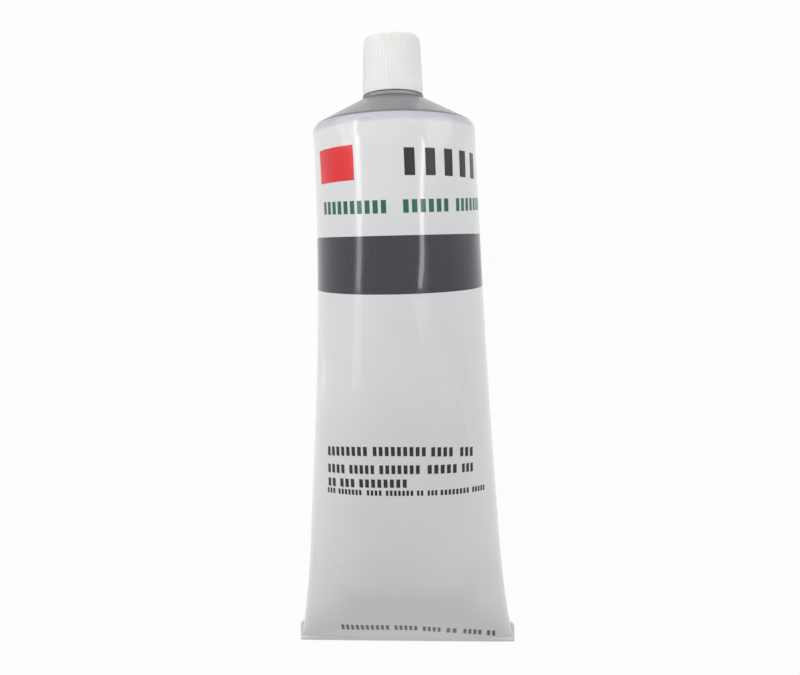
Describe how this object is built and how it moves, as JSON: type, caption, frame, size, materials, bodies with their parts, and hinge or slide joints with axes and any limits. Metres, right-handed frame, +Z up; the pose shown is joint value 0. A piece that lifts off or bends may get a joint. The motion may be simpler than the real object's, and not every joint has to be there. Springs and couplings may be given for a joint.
{
  "type": "putty tube",
  "caption": "Collapsible metal tube of glazing putty, lying on its back: round shoulder and ribbed screw cap at one end, flat twice-folded seam at the other, dark band round the upper body.",
  "frame": {"origin": "under the middle of the tube's length and width, on the surface it lies on", "axes": "+Y along the tube from the folded end towards the cap, +X across the printed front to the right when the cap is up, +Z up through the printed front"},
  "size_m": [0.079, 0.206, 0.0503],
  "materials": {
    "lacquered_metal": "satin white lacquer over drawn aluminium",
    "dark_ink": "satin dark grey printing ink",
    "putty": "soft paste",
    "cap_plastic": "moulded satin white",
    "liner_foam": "closed foam"
  },
  "bodies": {
    "tube": {"tube": "lacquered_metal", "printed_band": "dark_ink", "putty": "putty"},
    "liner": {"cap_liner": "liner_foam"},
    "cap": {"cap": "cap_plastic"}
  },
  "joints": [
    {"name": "cap_lift", "type": "slide", "parent": "tube", "child": "liner", "axis": [0, 0.99, 0.1411], "range_m": [0, 0.0142]},
    {"name": "cap_turn", "type": "hinge", "parent": "liner", "child": "cap", "pos_m": [0, 0.09901, 0.02869], "axis": [0, 0.99, 0.1411], "range_deg": [0, 1692]}
  ],
  "couplings": [
    {"joint": "cap_lift", "follows": "cap_turn", "m_per_rad": 0.00047746}
  ]
}
